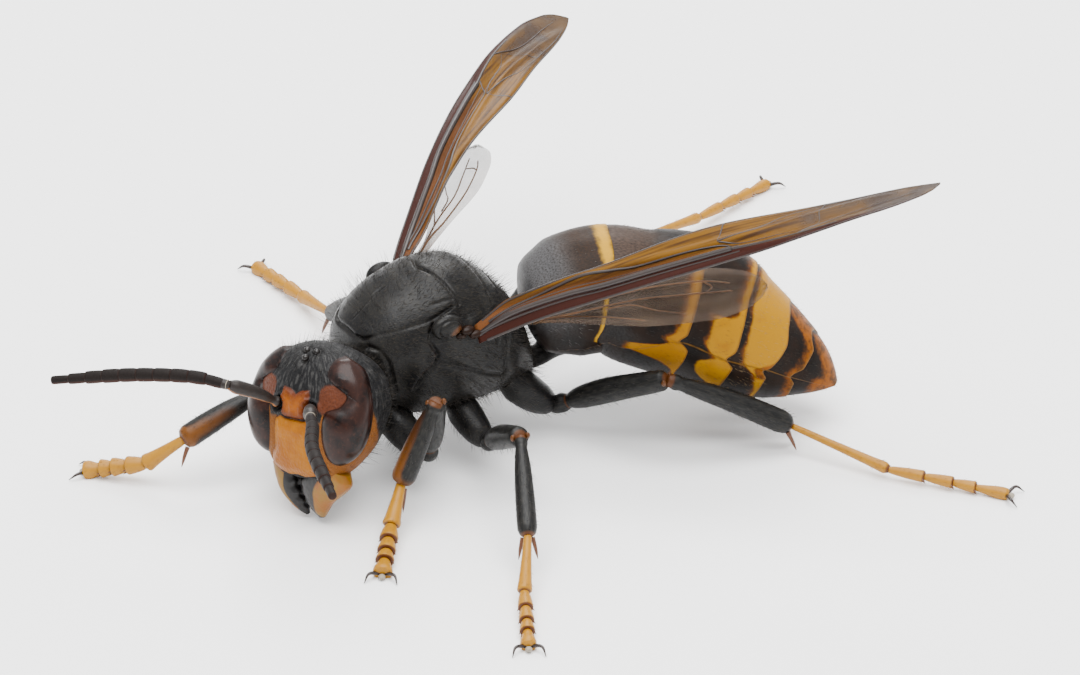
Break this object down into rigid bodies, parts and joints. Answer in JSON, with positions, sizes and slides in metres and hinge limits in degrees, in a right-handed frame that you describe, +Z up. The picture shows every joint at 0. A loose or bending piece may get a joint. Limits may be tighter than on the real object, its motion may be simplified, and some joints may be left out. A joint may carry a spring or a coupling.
{
  "type": "yellow-legged hornet",
  "caption": "Life-size still model of a yellow-legged hornet standing on its feet, with its folded wings raised and spread.",
  "frame": {"origin": "middle of the bounding box at floor level, under the hind body's front", "axes": "+Y towards the tail and -Y towards the head, +X towards the hornet's left side, +Z up from the floor"},
  "size_m": [0.0292, 0.0344, 0.0122],
  "materials": {
    "face": "horny shell, orange face under a black crown, satin",
    "eye": "dark maroon, glossy, finely faceted",
    "jaw": "orange with black toothed edges, satin",
    "feeler": "dark brown, ringed, matt",
    "shell": "black, velvety with short fine hair",
    "banded_shell": "dark brown with yellow and orange bands, satin",
    "wing": "amber-brown membrane with dark raised veins",
    "clear_wing": "smoky clear membrane with brown veins",
    "limb": "charcoal black with brown knees, satin, finely haired",
    "foot": "bright yellow with brown joint marks and black claws"
  },
  "bodies": {
    "root": {"coxa_fore_left": "limb", "coxa_fore_right": "limb", "coxa_hind_left": "limb", "coxa_hind_right": "limb", "coxa_mid_left": "limb", "coxa_mid_right": "limb", "eye_left": "eye", "eye_right": "eye", "femur_fore_left": "limb", "femur_fore_right": "limb", "femur_hind_left": "limb", "femur_hind_right": "limb", "femur_mid_left": "limb", "femur_mid_right": "limb", "flagellum_left": "feeler", "flagellum_right": "feeler", "forewing_left": "wing", "forewing_right": "wing", "gaster_1": "banded_shell", "gaster_2": "banded_shell", "gaster_3": "banded_shell", "gaster_4": "banded_shell", "gaster_5": "banded_shell", "gaster_6": "banded_shell", "head": "face", "hindwing_left": "clear_wing", "hindwing_right": "clear_wing", "mandible_left": "jaw", "mandible_right": "jaw", "mesothorax": "shell", "pronotum": "shell", "propodeum": "shell", "scape_left": "feeler", "scape_right": "feeler", "scutellum": "shell", "tarsus_fore_left": "foot", "tarsus_fore_right": "foot", "tarsus_hind_left": "foot", "tarsus_hind_right": "foot", "tarsus_mid_left": "foot", "tarsus_mid_right": "foot", "tegula_left": "shell", "tegula_right": "shell", "tibia_fore_left": "limb", "tibia_fore_right": "limb", "tibia_hind_left": "limb", "tibia_hind_right": "limb", "tibia_mid_left": "limb", "tibia_mid_right": "limb"}
  },
  "joints": []
}
